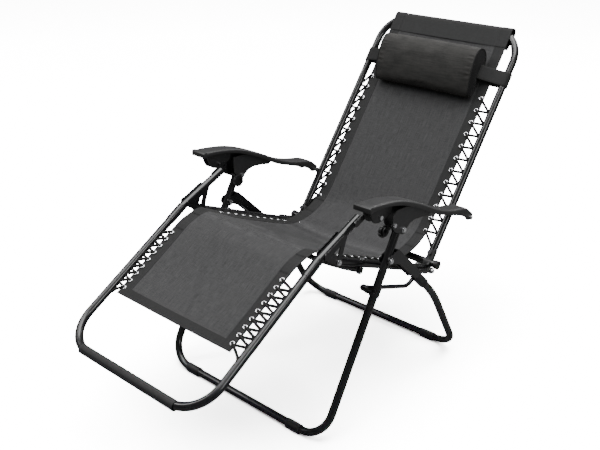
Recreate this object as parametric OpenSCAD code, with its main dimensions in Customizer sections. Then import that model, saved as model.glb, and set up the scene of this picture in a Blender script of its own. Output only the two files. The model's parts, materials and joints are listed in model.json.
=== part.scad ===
// Zero gravity recliner: two hinged tube legs, a lace-up sling on rail frames, wave-shaped armrests.
// Millimetres. X is across the chair, the sitter faces -Y, Z is up and the floor is Z = 0.

/* [Part to show] */
// one node name, or all

/* [Tubes] */
// outside diameter of the frame tube
tube_d = 22; // [18:0.5:28]
// wall of the frame tube
tube_wall = 1.2; // [0.8:0.1:2]
// outside diameter of the tie link rod
link_d = 12; // [8:0.5:14]

/* [Widths] */
// centre of the chair to the centre of a leg tube
leg_x = 300; // [270:1:340]
// centre of the chair to the centre of a seat rail
rail_x = 252; // [230:1:270]
// centre of the chair to the edge of the sling
sling_x = 214; // [190:1:225]
// centre of the chair to the centre of an armrest
arm_x = 297; // [290:1:310]
// width of an armrest
arm_w = 52; // [44:1:60]

/* [Frame sizes] */
// length of a front leg from floor bar to armrest bolt
front_leg_len = 592.8; // [540:0.1:640]
// lean of the front leg above the floor, degrees
front_lean = 60.7; // [55:0.1:66]
// corner bend of both floor bars
leg_bend = 75; // [50:1:100]
// length of the back frame above its pivot
back_len = 756; // [680:1:820]
// lean of the back above the floor, degrees
back_lean = 53.7; // [45:0.1:75]
// corner bend of the back top and of the leg rest
rest_bend = 92; // [60:1:120]
// slope of the leg rest, degrees
leg_slope = 30.8; // [20:0.1:40]
// slope of the seat rail, degrees
seat_slope = 22.9; // [10:0.1:30]

/* [Soft parts] */
// thickness of the sling cloth
cloth = 3; // [2:0.5:5]
// length of the head pillow
pillow_l = 352; // [300:1:400]
// thickness of the head pillow
pillow_t = 84; // [60:1:100]
// eyelets along one side of the back
back_eyelet_n = 12; // [8:1:16]
// eyelets along one side of the seat
seat_eyelet_n = 10; // [6:1:14]
// eyelets along one side of the leg rest
leg_eyelet_n = 9; // [6:1:14]

/* [Hidden] */
$fn = 32;
r = tube_d/2;
bolt_r = 4;                 // every pivot bolt is an M8
slip = 0.06;                // radial play of a bolt in its hole
hub_r = 10.5;               // steel bushing round a main pivot bolt
seam = 0.05;                // a straight run sits this much inside the bend it meets
function along(p, deg, d) = [p[0] + d*cos(deg), p[1] + d*sin(deg)];
function off(p, deg, d, n) = along(along(p, deg, d), deg + 90, n);
function deg_to(a, b) = atan2(b[1] - a[1], b[0] - a[0]);
function dist(a, b) = norm(b - a);

// side-view pivots, as [y, z]
foot_z = r + 2;
O = [-68, 530];                                   // front leg to armrest
front_foot = along(O, front_lean, -front_leg_len);
P = along(O, front_lean, -88);                    // rear leg to front leg
Q = off(O, front_lean, -177, 12);                 // tie link to front leg
K = [146, 316];                                   // seat, back and tie link
E = [-266, 490];                                  // seat to leg rest
G = [-155, 588];                                  // leg rest to armrest
D = [262, 460];                                   // back to armrest
back_foot = [171, 325.5];                         // centre of the rear cross tube
back_top = along(back_foot, back_lean, back_len - 15);
ferrule = [-329, 513];
rest_foot = along(ferrule, 180 + leg_slope, 474);
rest_run = dist(ferrule, rest_foot);
link_x = rail_x + 21;                             // plane of the tie links
y_mid = (rest_foot[0] - 13 + back_top[0] + r + cloth)/2;

// rear leg: straight channel run, long bend, floor loop
rear_deg = -43.7;
rear_straight = 250;
rear_arc = 15.5;
rear_arc_r = 420;
rear_0 = off(P, rear_deg, 0, 25.7);                // the tube runs beside the pivot, not through it
rear_a = along(rear_0, rear_deg, rear_straight);
rear_c = along(rear_a, rear_deg - 90, rear_arc_r);
rear_b = along(rear_c, rear_deg + 90 - rear_arc, rear_arc_r);
rear_end_deg = rear_deg - rear_arc;
rear_tail = (rear_b[1] - foot_z)/sin(-rear_end_deg);
rear_foot = along(rear_b, rear_end_deg, rear_tail);

// ---------- shared shapes ----------
// cylinder along X between two x values, centred on side-view point p
module peg(p, x0, x1, rad) {
  translate([x0, p[0], p[1]]) rotate([0, 90, 0]) cylinder(h = x1 - x0, r = rad);
}
// flat side-view shape given in [y, z], from x0 to x1
module slab(x0, x1) {
  translate([x0, 0, 0]) rotate([90, 0, 90]) linear_extrude(x1 - x0) children();
}
// puts a local frame on side-view point p with local +Y running along deg
module lie(p, deg, x = 0) { translate([x, p[0], p[1]]) rotate([deg, 0, 0]) children(); }
// straight run along local +Y
module run(len, rad) { rotate([-90, 0, 0]) cylinder(h = len, r = rad); }
// hollow straight tube along local +Y
module pipe(len, rad = r, wall = tube_wall) {
  difference() { run(len, rad); translate([0, -1, 0]) run(len + 2, rad - wall); }
}
module ring2d(rad, wall) { difference() { circle(rad); circle(rad - wall); } }
// U of hollow tube in the local XY plane: cross bar on y = 0, sides running to y = len
module u_tube(half, len, bend, len_solid = 0) {
  for (s = [-1, 1]) {
    translate([s*half, bend, 0]) pipe(len - bend);
    translate([s*(half - bend), bend, 0]) rotate([0, 0, s > 0 ? -90 : 180])
      rotate_extrude(angle = 90) translate([bend, 0]) ring2d(r, tube_wall);
  }
  translate([-(half - bend), 0, 0]) rotate([0, 0, -90]) pipe(2*(half - bend));
}
// outline of a link: two round ends and a straight web
module link2d(a, b, ra, rb, web) {
  t = deg_to(a, b);
  translate(a) circle(ra);
  translate(b) circle(rb);
  translate(a) rotate(t) translate([0, -web/2]) square([dist(a, b), web]);
}
// solid rod from a to c with one rounded bend at b
module bent_rod(a, b, c, x, rad, bend) {
  d1 = deg_to(a, b);
  d2 = deg_to(b, c);
  t = bend*tan(abs(d2 - d1)/2);
  side = d2 > d1 ? 90 : -90;
  mid = along(along(b, d1, -t), d1 + side, bend);
  lie(a, d1, x) run(dist(a, b) - t + 1, rad - seam);
  lie(along(b, d2, t - 1), d2, x) run(dist(b, c) - t + 1, rad - seam);
  arc_at(mid, min(d1 - side, d2 - side), x)
    rotate_extrude(angle = abs(d2 - d1), $fn = 180) translate([bend, 0]) circle(rad, $fn = 32);
}
// turns an arc swept in its own XY plane into the side view, starting at angle deg
module arc_at(p, deg, x) { translate([x, p[0], p[1]]) rotate([deg, 0, 0]) rotate([90, 0, 90]) children(); }
module both() { for (s = [0, 1]) mirror([s, 0, 0]) children(); }
// bolt with a washer and a domed head at x1 and a nut at x0
module bolt(p, x0, x1) {
  peg(p, x0, x1, bolt_r);
  peg(p, x1, x1 + 1.2, 7.5);
  peg(p, x1 + 1.2, x1 + 4.6, 6.2);
  peg(p, x0 - 4, x0, 6.5);
}
module hole(p, x0, x1) { peg(p, x0, x1, bolt_r + slip); }

// ---------- front leg ----------
module front_leg_frame() {
  color("black") difference() {
    union() {
      lie(front_foot, front_lean) u_tube(leg_x, front_leg_len - 12, leg_bend);
      both() peg(O, leg_x - 9.8, leg_x + 9.8, 15);
      both() peg(P, leg_x - 10.3, leg_x + 10.3, 6.5);
    }
    both() { peg(O, leg_x - 15, leg_x + 15, hub_r + slip); hole(P, leg_x - 15, leg_x + 15); }
  }
}
// sleeve with a flat tread, on a floor bar
sleeve_x = 200;
module foot_sleeve(p, x) {
  difference() {
    union() {
      peg(p, x - 24, x + 24, r + 2);
      translate([x - 24, p[0] - 9, 0]) cube([48, 18, 8]);
    }
    peg(p, x - 30, x + 30, r + 0.02);
  }
}
module front_foot_sleeves() { color("dimgray") both() foot_sleeve(front_foot, sleeve_x); }
module armrest_pivot_bolts() {
  color("silver") both() { bolt(O, lock_in - 0.1, lock_out + 3.7); peg(O, leg_x - 9.9, leg_x + 9.9, hub_r); }
}
module tie_clamps() {
  color("black") both() difference() {
    union() {
      lie(along(O, front_lean, -190), front_lean, leg_x) run(26, r + 3);
      slab(leg_x - 20.5, leg_x - 12) link2d(Q, along(O, front_lean, -177), 11, 9, 18);
      slab(leg_x - 20.5, leg_x - 9) translate(along(O, front_lean, -177)) circle(9);
    }
    lie(along(O, front_lean, -200), front_lean, leg_x) run(50, r + 0.02);
    hole(Q, leg_x - 30, leg_x + 20);
  }
}
module leg_pivot_bolts() { color("silver") both() bolt(P, leg_x - 14.6, leg_x + 14.6); }

// ---------- rear leg ----------
module rear_leg_frame() {
  color("black") both() {
    lie(along(rear_0, rear_deg, 60), rear_deg, leg_x) pipe(rear_straight - 58, r - seam, tube_wall - 2*seam);
    arc_at(rear_c, rear_end_deg + 90, leg_x) rotate_extrude(angle = rear_arc, $fn = 480)
      translate([rear_arc_r, 0]) ring2d(r, tube_wall, $fn = 32);
    lie(along(rear_b, rear_end_deg, -2), rear_end_deg, leg_x) pipe(30, r - seam, tube_wall - 2*seam);
  }
  color("black") lie(rear_foot, rear_end_deg + 180) u_tube(leg_x, rear_tail - 0.4, leg_bend);
}
// channel that straddles the front leg and holds the top of the rear leg
module channel_side() {
  translate(P) circle(13);
  polygon([along(P, 115, 12), off(rear_0, rear_deg, 8, 12.5), off(rear_0, rear_deg, 158, 12.5),
    off(rear_0, rear_deg, 158, -12.5), off(rear_0, rear_deg, 55, -12.5), along(P, -50, 12)]);
  translate(along(rear_0, rear_deg, 157)) circle(10);
}
module rear_leg_channels() {
  color([0.12, 0.12, 0.13]) both() difference() {
    union() {
      for (x = [-14.4, 11.6]) slab(leg_x + x, leg_x + x + 2.8) channel_side();
      lie(off(rear_0, rear_deg, 14, 12.5), rear_deg, leg_x) translate([-14.4, 0, -1.4]) cube([28.8, 136, 2.8]);
    }
    hole(P, leg_x - 20, leg_x + 20);
  }
}
module rear_leg_collars() {
  color("dimgray") both() lie(along(rear_0, rear_deg, 168.5), rear_deg, leg_x) pipe(60, r + 3.2, 3.18);
}
module rear_foot_sleeves() { color("dimgray") both() foot_sleeve(rear_foot, sleeve_x); }

// ---------- tie link ----------
link_bends = [[34, 309], [85, 338]];
module tie_links() {
  lr = link_d/2;
  half_way = (link_bends[0] + link_bends[1])/2;
  color("black") both() difference() {
    union() {
      bent_rod(Q, link_bends[0], half_way, link_x, lr, 40);
      bent_rod(along(half_way, deg_to(half_way, link_bends[0]), 1), link_bends[1], K, link_x, lr - 0.1, 30);
      peg(Q, link_x - lr, link_x + lr, 9);
      peg(K, link_x - lr, link_x + lr, 9);
    }
    hole(Q, link_x - 10, link_x + 10);
    hole(K, link_x - 10, link_x + 10);
  }
}
module tie_pivot_bolts() {
  color("silver") both() { peg(Q, link_x - 7, leg_x - 13.1, bolt_r); peg(Q, link_x - 11, link_x - 6.9, 6.2); }
}

// ---------- seat ----------
seat_deg = 180 - seat_slope;
rail_len = dist(K, E);
module seat_rail() {
  difference() {
    union() {
      lie(along(K, deg_to(K, E), 34), deg_to(K, E), rail_x) pipe(rail_len - 42);
      peg(E, rail_x - r, rail_x + r, 13.5);
      slab(rail_x + r - 1.6, rail_x + r + 2.2) link2d(K, along(K, deg_to(K, E), 66), 13, 14, 28);
      peg(along(K, deg_to(K, E), 36), rail_x - r + 1, rail_x + r, r - 2);
    }
    peg(E, rail_x - 20, rail_x + 20, hub_r + slip);
    hole(K, rail_x - 20, rail_x + 20);
    bow_holes();
  }
}
bow_end = off(K, seat_deg, 326, -16);
module bow_holes() {
  translate([rail_x, 0, 0]) lie(along(K, seat_deg, 326), seat_deg - 90) translate([0, -20, 0]) run(40, 3.1);
}
module seat_rail_left() { color("black") seat_rail(); }
module seat_rail_right() { color("black") mirror([1, 0, 0]) seat_rail(); }
// shallow spreader bow under the seat
bow_drop = 62;
bow_half = rail_x;
bow_r = (bow_half*bow_half + bow_drop*bow_drop)/(2*bow_drop);
bow_angle = 2*asin(bow_half/bow_r);
module bow_bar() {
  base = off(K, seat_deg, 326, 18);
  color("black") difference() {
    union() {
      translate([0, base[0], base[1]]) rotate([seat_deg - 115, 0, 0]) translate([0, 0, bow_r - bow_drop])
        rotate([90, 0, 0]) rotate([0, 0, -90 - bow_angle/2]) rotate_extrude(angle = bow_angle, $fn = 96)
          translate([bow_r, 0]) ring2d(8, 1.2);
      both() translate([rail_x, 0, 0]) lie(off(K, seat_deg, 326, 11.4), seat_deg + 90) run(14, 9);
    }
    both() translate([rail_x, 0, 0]) lie(along(K, seat_deg, 326), seat_deg + 90) run(80, 3.1);
  }
}
module bow_bar_bolts() {
  color("silver") both() translate([rail_x, 0, 0]) lie(along(K, seat_deg, 326), seat_deg + 90) {
    translate([0, -14, 0]) run(42, 3);
    translate([0, 25.2, 0]) run(4, 6);
    translate([0, -14, 0]) run(3, 5.4);
  }
}
// cloth panel with round eyelet holes down both sides
eyelet_x = 205;
module panel(p, deg, len, half, first, pitch, count) {
  lie(p, deg) difference() {
    translate([-half, 0, -cloth/2]) cube([2*half, len, cloth]);
    for (s = [-1, 1], i = [0:count - 1]) translate([s*eyelet_x, first + i*pitch, -cloth])
      cylinder(h = 2*cloth, r = 4, $fn = 16);
  }
}
module eyelets(p, deg, first, pitch, count) {
  lie(p, deg) for (s = [-1, 1], i = [0:count - 1]) translate([s*eyelet_x, first + i*pitch, cloth/2])
    difference() { cylinder(h = 1.2, r = 6.5, $fn = 16); translate([0, 0, -1]) cylinder(h = 4, r = 3.4, $fn = 16); }
}
// short lace from each eyelet towards the tube
module cords(p, deg, first, pitch, count, tube_x, drop = 0) {
  lie(p, deg) for (s = [-1, 1], i = [0:count - 1]) translate([s*eyelet_x, first + i*pitch, -cloth/2 - 1.7])
    rotate([0, s*drop, 0]) rotate([0, s*90, 0]) cylinder(h = tube_x - eyelet_x - r - 4, r = 1.6, $fn = 8);
}
seat_p = off(K, seat_deg, 96, -4);
seat_len = rail_len - 96 - 26;
seat_pitch = (seat_len - 34)/(seat_eyelet_n - 1);
module seat_sling() {
  color([0.2, 0.2, 0.2]) panel(seat_p, seat_deg, seat_len, sling_x, 17, seat_pitch, seat_eyelet_n);
}
module seat_eyelets() {
  color("silver") mirror_z(seat_p, seat_deg) eyelets(seat_p, seat_deg, 17, seat_pitch, seat_eyelet_n);
}
module seat_cords() {
  color("black") mirror_z(seat_p, seat_deg) cords(seat_p, seat_deg, 17, seat_pitch, seat_eyelet_n, rail_x);
}
// flips a panel's fittings to the other face, for panels that run forwards
module mirror_z(p, deg) {
  lie(p, deg) mirror([0, 0, 1]) rotate([-deg, 0, 0]) translate([0, -p[0], -p[1]]) children();
}

// ---------- hip pivot ----------
module hip_bolts() {
  color("silver") both() { bolt(K, back_x + 6.8, link_x + 7); peg(K, back_x - 26, back_x + 6.8, hub_r); }
}

// ---------- back ----------
back_x = 250;
module back_frame() {
  color("black") lie(back_top, back_lean + 180) u_tube(back_x, back_len - 15 - 14, rest_bend);
}
module back_sockets() {
  color([0.12, 0.12, 0.13]) both() difference() {
    union() {
      lie(back_foot, back_lean, back_x) run(38, r + 1.3);
      peg(back_foot, back_x - 12, back_x + 11, r + 1.6);
      slab(back_x + 6.9, back_x + 11.3) link2d(K, back_foot, 11, 12, 19);
      lie(along(back_foot, back_lean, 26), back_lean + 90, back_x) run(r + 8, 6.5);
    }
    lie(along(back_foot, back_lean, 14), back_lean, back_x) run(60, r + 0.02);
    peg(back_foot, back_x - 30, back_x + 30, r + 0.02);
    hole(K, back_x - 20, back_x + 20);
  }
}
module rear_cross_tube() {
  color("black") difference() {
    peg(back_foot, -back_x - 24, back_x + 24, r);
    peg(back_foot, -back_x - 30, back_x + 30, r - tube_wall);
  }
}
module cross_tube_caps() {
  color("dimgray") both() {
    peg(back_foot, back_x + 24, back_x + 34, r + 2);
    peg(back_foot, back_x + 12, back_x + 24, r - tube_wall - 0.02);
  }
}
module socket_bolts() {
  color("silver") both() lie(along(back_foot, back_lean, 26), back_lean - 90, back_x)
    translate([0, r + 1.4, 0]) { run(1.2, 6.6); run(4.6, 5.5); }
}
module back_arm_bosses() {
  color("dimgray") both() difference() {
    peg(D, back_x + 4, back_x + 13, 8);
    lie(back_foot, back_lean, back_x) run(400, r + 0.02);
  }
}
back_deg = back_lean;
sling_lift = 9;
back_p = off(back_foot, back_deg, 66, sling_lift);
back_sling_len = back_len - 15 - 66 - 22;
back_pitch = 39.3;
module back_sling() {
  color([0.26, 0.26, 0.27]) panel(back_p, back_deg, back_sling_len, sling_x, 18, back_pitch, back_eyelet_n);
  color([0.26, 0.26, 0.27]) difference() {
    union() {
      peg(back_top, -sling_x, sling_x, r + cloth);
      lie(back_top, back_deg + 180) translate([-sling_x, 0, -sling_lift - cloth/2]) cube([2*sling_x, 60, cloth]);
    }
    peg(back_top, -300, 300, r + 0.1);
  }
}
module back_eyelets() { color("silver") eyelets(back_p, back_deg, 18, back_pitch, back_eyelet_n); }
module back_cords() { color("black") cords(back_p, back_deg, 18, back_pitch, back_eyelet_n, back_x, 8); }

// ---------- head pillow ----------
pillow_y = 632;             // middle of the thick upper part, up the back
pillow_rest = sling_lift + cloth/2 + 0.5;
module pillow() {
  top = pillow_t/2 - 7;
  color([0.16, 0.16, 0.17]) lie(back_foot, back_deg) rotate([90, 0, 90])
  translate([0, 0, -pillow_l/2]) linear_extrude(pillow_l) {
    translate([pillow_y, pillow_rest + top]) circle(top);
    translate([pillow_y - 105, pillow_rest + 13]) circle(13);
    polygon([[pillow_y - 105, pillow_rest], [pillow_y, pillow_rest], [pillow_y, pillow_rest + 2*top],
      [pillow_y - 20, pillow_rest + 2*top - 6], [pillow_y - 110, pillow_rest + 25]]);
  }
}
// strap from each pillow end round the side tube
module pillow_straps() {
  strap_w = 44;
  color([0.1, 0.1, 0.1]) both() lie(along(back_foot, back_deg, pillow_y - 42), back_deg) {
    translate([back_x, 0, 0]) difference() {
      rotate([-90, 0, 0]) cylinder(h = strap_w, r = r + 3, center = true);
      rotate([-90, 0, 0]) cylinder(h = strap_w + 6, r = r + 1, center = true);
    }
    translate([pillow_l/2 + 0.2, -strap_w/2, r + 1.2]) cube([back_x - pillow_l/2 + 2, strap_w, 1.8]);
  }
}

// ---------- armrest lock ----------
knob_c = [-90, 519];
lock_c = [-109, 555];
lock_in = leg_x - 24;                             // inner face of the inner lock plate
lock_out = leg_x + 15;                            // inner face of the outer lock plate
module lock_plate(front) {
  polygon([[front - 3, 583], [front, 548], [front + 8, 536], [-74, 518.5], [-57, 528], [-40, 540], [-20, 544], [17, 540],
    [47, 534], [60, 541], [47, 551], [10, 567], [-20, 580], [-60, 592], [-100, 594]]);
}
module lock_housings() {
  color([0.14, 0.14, 0.15]) both() difference() {
    union() {
      slab(lock_in, lock_in + 3.5) { lock_plate(-98); translate(knob_c) circle(13); }
      slab(lock_out, lock_out + 3.6) { lock_plate(-115); translate(O) circle(12); }
      slab(lock_in, lock_out + 3.6) polygon([[-35, 550], [5, 546], [5, 560], [-35, 568]]);
    }
    hole(O, leg_x - 30, leg_x + 30);
    hole(knob_c, leg_x - 30, leg_x);
    hole(lock_c, leg_x, leg_x + 30);
  }
}
module lock_bolts() {
  color("silver") both() {
    peg(lock_c, lock_out - 3, lock_out + 3.7, bolt_r - 0.04);
    peg(lock_c, lock_out + 3.62, lock_out + 7, 5.6);
  }
}
module lock_knob() {
  difference() {
    union() {
      peg(knob_c, lock_in - 9.5, lock_in - 1.5, 18);
      peg(knob_c, lock_in - 1.5, lock_in - 0.1, 8);
      peg(knob_c, lock_in - 0.1, lock_in + 6, bolt_r);
    }
    for (a = [0:45:315]) peg(along(knob_c, a, 19.5), lock_in - 11, lock_in - 1, 3);
    peg(knob_c, lock_in - 11, lock_in - 7, 9);
  }
}
module lock_knob_left() { color([0.1, 0.1, 0.1]) lock_knob(); }
module lock_knob_right() { color([0.1, 0.1, 0.1]) mirror([1, 0, 0]) lock_knob(); }

// ---------- armrests ----------
// top edge of the wave, front to rear, in [y, z]
arm_top = [[-220, 622], [-216, 636], [-174, 633], [-141, 629], [-110, 624], [-79, 615.5], [-46, 604], [-12, 589.5],
  [30, 570], [62, 552], [98, 535], [131, 522], [168, 512], [202, 505], [238, 496], [256, 487], [268, 476]];
arm_low = [[274, 467], [266, 458], [257, 455.5], [240, 463], [225, 477], [180, 492], [133, 508], [86, 525],
  [41, 547], [-3, 570], [-45, 590], [-78, 603], [-110, 612], [-140, 619], [-174, 623], [-208, 624]];
// plate under the front of the pad, which carries the leg rest bolt
module arm_lobe() {
  polygon([[-200, 621], [-188, 583], [-168, 577], [-146, 577], [-111, 591], [-106, 618], [-140, 626],
    [-174, 630], [-198, 632]]);
}
module armrest() {
  x0 = arm_x - arm_w/2;
  x1 = arm_x + arm_w/2;
  difference() {
    union() {
      difference() {
        slab(x0, x1) polygon(concat(arm_top, arm_low));
        slab(x0 + 4, x1 - 4) translate([2, -5]) polygon(concat(arm_top, arm_low));
      }
      slab(x1 - 20, x1 - 16) arm_lobe();
      slab(x0 + 11, x0 + 15) arm_lobe();
      slab(x0, x1) translate(D) circle(10);
    }
    hole(D, arm_x - 40, arm_x + 40);
    hole(G, arm_x - 40, arm_x + 40);
  }
}
module armrest_left() { color([0.2, 0.2, 0.21]) armrest(); }
module armrest_right() { color([0.2, 0.2, 0.21]) mirror([1, 0, 0]) armrest(); }
// bolt pushed in from the outside, with a domed head
module arm_bolt(p, x0, x1) { peg(p, x0, x1 + 0.1, bolt_r); peg(p, x1 + 0.02, x1 + 4, 6.2); }
module arm_front_bolts() { color("silver") both() arm_bolt(G, rail_x + 14.5, arm_x + arm_w/2 - 16); }
module arm_rear_bolts() { color("silver") both() arm_bolt(D, back_x + 15, arm_x + arm_w/2); }

// ---------- leg rest ----------
module knee_bolts() {
  color("silver") both() { bolt(E, rail_x - 14.6, rail_x + 14.6); peg(E, rail_x - 11.2, rail_x + 11.2, hub_r); }
}
module leg_rest_frame() {
  color("black") lie(rest_foot, leg_slope) u_tube(rail_x, rest_run - 26, rest_bend);
}
module leg_rest_ferrules() {
  color([0.1, 0.1, 0.1]) both() lie(ferrule, leg_slope, rail_x) translate([0, -52, 0]) difference() {
    run(56, r + 1.4);
    translate([0, -1, 0]) run(26.98, r + 0.02);
    translate([0, 30, 0]) run(40, r - 1.5);
  }
}
module leg_rest_arms() {
  a = deg_to(ferrule, G);
  color("black") both() difference() {
    union() {
      lie(ferrule, a, rail_x) pipe(dist(ferrule, G) - 22);
      slab(rail_x + 8, rail_x + 13) link2d(along(ferrule, a, dist(ferrule, G) - 44), G, 8, 11, 16);
    }
    hole(G, rail_x - 20, rail_x + 20);
    lie(ferrule, leg_slope, rail_x) translate([0, -60, 0]) run(64.1, r + 2);
  }
}
module knee_gussets() {
  a = deg_to(ferrule, G);
  m = along(ferrule, a, 22);
  n = along(ferrule, a, 92);
  color([0.12, 0.12, 0.13]) both() difference() {
    for (x = [rail_x - 14.2, rail_x + 11.6]) slab(x, x + 2.6) {
      link2d(E, m, 13, 11, 20);
      link2d(E, n, 13, 9, 16);
      link2d(m, n, 11, 9, 18);
    }
    hole(E, rail_x - 20, rail_x + 20);
    lie(ferrule, a, rail_x) run(dist(ferrule, G), r + 0.05);
    lie(ferrule, leg_slope, rail_x) translate([0, -60, 0]) run(64.1, r + 1.5);
  }
}
module foot_grip() {
  color("dimgray") difference() { peg(rest_foot, -180, 180, 13); peg(rest_foot, -190, 190, r + 0.02); }
}
leg_p = off(rest_foot, leg_slope, 170, 6);
leg_len = rest_run - 170 - 66;
leg_pitch = (leg_len - 40)/(leg_eyelet_n - 1);
module leg_sling() { color([0.2, 0.2, 0.2]) panel(leg_p, leg_slope, leg_len, sling_x, 20, leg_pitch, leg_eyelet_n); }
module leg_eyelets() { color("silver") eyelets(leg_p, leg_slope, 20, leg_pitch, leg_eyelet_n); }
module leg_cords() { color("black") cords(leg_p, leg_slope, 20, leg_pitch, leg_eyelet_n, rail_x, 6); }

// ---------- one node at a time ----------
translate([0, -y_mid, 0]) {
  front_leg_frame();
  front_foot_sleeves();
  armrest_pivot_bolts();
  tie_clamps();
  leg_pivot_bolts();
  rear_leg_frame();
  rear_leg_channels();
  rear_leg_collars();
  rear_foot_sleeves();
  tie_links();
  tie_pivot_bolts();
  seat_rail_left();
  seat_rail_right();
  bow_bar();
  bow_bar_bolts();
  seat_sling();
  seat_eyelets();
  seat_cords();
  hip_bolts();
  back_frame();
  back_sockets();
  rear_cross_tube();
  cross_tube_caps();
  socket_bolts();
  back_arm_bosses();
  back_sling();
  back_eyelets();
  back_cords();
  pillow();
  pillow_straps();
  lock_housings();
  lock_bolts();
  lock_knob_left();
  lock_knob_right();
  armrest_left();
  armrest_right();
  arm_front_bolts();
  arm_rear_bolts();
  knee_bolts();
  leg_rest_frame();
  leg_rest_ferrules();
  leg_rest_arms();
  knee_gussets();
  foot_grip();
  leg_sling();
  leg_eyelets();
  leg_cords();
}
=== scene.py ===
"""Looks for the zero gravity recliner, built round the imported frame. Lengths are in metres, X across, -Y forwards."""
import json
import math

import bmesh
import bpy
import numpy as np
from mathutils import Matrix, Vector
from mathutils.bvhtree import BVHTree


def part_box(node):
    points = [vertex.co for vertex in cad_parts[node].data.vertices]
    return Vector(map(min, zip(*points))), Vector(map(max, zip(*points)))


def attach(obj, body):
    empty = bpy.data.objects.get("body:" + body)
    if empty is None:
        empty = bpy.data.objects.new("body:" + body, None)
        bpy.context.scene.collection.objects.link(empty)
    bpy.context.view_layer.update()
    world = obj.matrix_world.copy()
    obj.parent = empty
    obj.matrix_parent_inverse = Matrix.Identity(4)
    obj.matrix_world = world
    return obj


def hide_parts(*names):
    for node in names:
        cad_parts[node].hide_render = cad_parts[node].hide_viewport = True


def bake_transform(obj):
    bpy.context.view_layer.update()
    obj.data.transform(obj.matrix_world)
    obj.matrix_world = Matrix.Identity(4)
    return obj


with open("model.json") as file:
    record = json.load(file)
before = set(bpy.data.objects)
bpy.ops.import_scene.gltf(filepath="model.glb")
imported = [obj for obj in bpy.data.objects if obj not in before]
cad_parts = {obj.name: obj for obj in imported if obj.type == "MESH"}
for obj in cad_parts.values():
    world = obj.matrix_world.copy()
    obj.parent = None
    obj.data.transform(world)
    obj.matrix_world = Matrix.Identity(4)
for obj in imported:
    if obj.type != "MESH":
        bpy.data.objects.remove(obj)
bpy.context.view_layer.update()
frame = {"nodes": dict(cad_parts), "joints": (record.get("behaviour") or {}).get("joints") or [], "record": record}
NODES = frame["nodes"]
JOINTS = {j["name"]: j for j in frame["joints"]}
MM = 0.001


# ---------- places read from the frame ----------
def pivot(name):
    p = JOINTS[name]["pos_m"]
    return np.array([p[1], p[2]])


def mid(node):
    lo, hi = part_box(node)
    return (lo + hi) / 2


def unit(deg):
    return np.array([math.cos(math.radians(deg)), math.sin(math.radians(deg))])


class Plane2:
    """A straight side-view axis: point() gives the [y, z] at a distance along it and off it, towards the sitter."""

    def __init__(self, origin, deg, side):
        self.o, self.u = np.array(origin, float), unit(deg)
        self.n = unit(deg + 90 * side)
        self.deg = deg

    def point(self, along, off=0.0):
        return self.o + self.u * along + self.n * off

    def coords(self, y, z):
        d = np.array([y, z]) - self.o
        return float(d @ self.u), float(d @ self.n)


HIP = pivot("back_recline")
KNEE = pivot("knee_fold")
CROSS = mid("rear_cross_tube")
GRIP = mid("foot_grip")
slide = JOINTS["pillow_slide"]["axis"]
BACK_DEG = math.degrees(math.atan2(-slide[2], -slide[1]))
SEAT_DEG = math.degrees(math.atan2(KNEE[1] - HIP[1], KNEE[0] - HIP[0]))
LEG_DEG = 30.8                                    # slope of the leg rest
BACK = Plane2((CROSS.y, CROSS.z), BACK_DEG, 1)
SEAT = Plane2(HIP, SEAT_DEG, -1)
LEG = Plane2((GRIP.y, GRIP.z), LEG_DEG, 1)
TUBE_R = (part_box("rear_cross_tube")[1].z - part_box("rear_cross_tube")[0].z) / 2
# half widths: to the middle of each pair of tubes, and to the edge of the sling
RAIL_X = mid("seat_rail_left").x - 1.3 * MM
BACK_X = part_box("back_frame")[1].x - TUBE_R
LEG_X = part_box("leg_rest_frame")[1].x - TUBE_R
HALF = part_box("seat_sling")[1].x


# ---------- mesh helpers ----------
def add_mesh(name, verts, faces, material=None, smooth=True, uvs=None):
    me = bpy.data.meshes.new(name)
    me.from_pydata([tuple(v) for v in verts], [], faces)
    me.update()
    if uvs is not None:
        layer = me.uv_layers.new(name="UVMap")
        for loop in me.loops:
            layer.data[loop.index].uv = uvs[loop.vertex_index]
    me.polygons.foreach_set("use_smooth", [smooth] * len(me.polygons))
    o = bpy.data.objects.new(name, me)
    bpy.context.scene.collection.objects.link(o)
    if material:
        me.materials.append(material)
    return o


def sv(p, x):
    """3D point from a side-view [y, z] point and a place across the chair."""
    return Vector((x, p[0], p[1]))


def fix_normals(o):
    bm = bmesh.new()
    bm.from_mesh(o.data)
    bmesh.ops.recalc_face_normals(bm, faces=bm.faces)
    bm.to_mesh(o.data)
    bm.free()
    return o


def ring_faces(rows, n):
    """Quads between neighbouring rings of n points."""
    faces = []
    for i in range(rows - 1):
        for k in range(n):
            a, b = i * n + k, i * n + (k + 1) % n
            faces.append((a, b, b + n, a + n))
    return faces


def grid_faces(rows, cols, start=0, flip=False):
    """Quads of a sheet of rows by cols cells."""
    faces = []
    for i in range(rows):
        for c in range(cols):
            a = start + i * (cols + 1) + c
            f = (a, a + 1, a + cols + 2, a + cols + 1)
            faces.append(f[::-1] if flip else f)
    return faces


def tube_mesh(path, radius, sides):
    """Round rod swept along a path of 3D points, closed at both ends. Returns verts and faces."""
    pts = [Vector(p) for p in path]
    verts = []
    normal = None
    for i, p in enumerate(pts):
        t = (pts[min(i + 1, len(pts) - 1)] - pts[max(i - 1, 0)]).normalized()
        if normal is None:
            normal = Vector((0, 0, 1)) if abs(t.z) < 0.9 else Vector((1, 0, 0))
        normal = (normal - t * normal.dot(t)).normalized()
        side = t.cross(normal)
        for k in range(sides):
            a = 2 * math.pi * k / sides
            verts.append(p + side * (radius * math.cos(a)) + normal * (radius * math.sin(a)))
    n = len(pts)
    faces = ring_faces(n, sides)
    faces.append(tuple(reversed(range(sides))))
    faces.append(tuple(range((n - 1) * sides, n * sides)))
    return verts, faces


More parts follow.
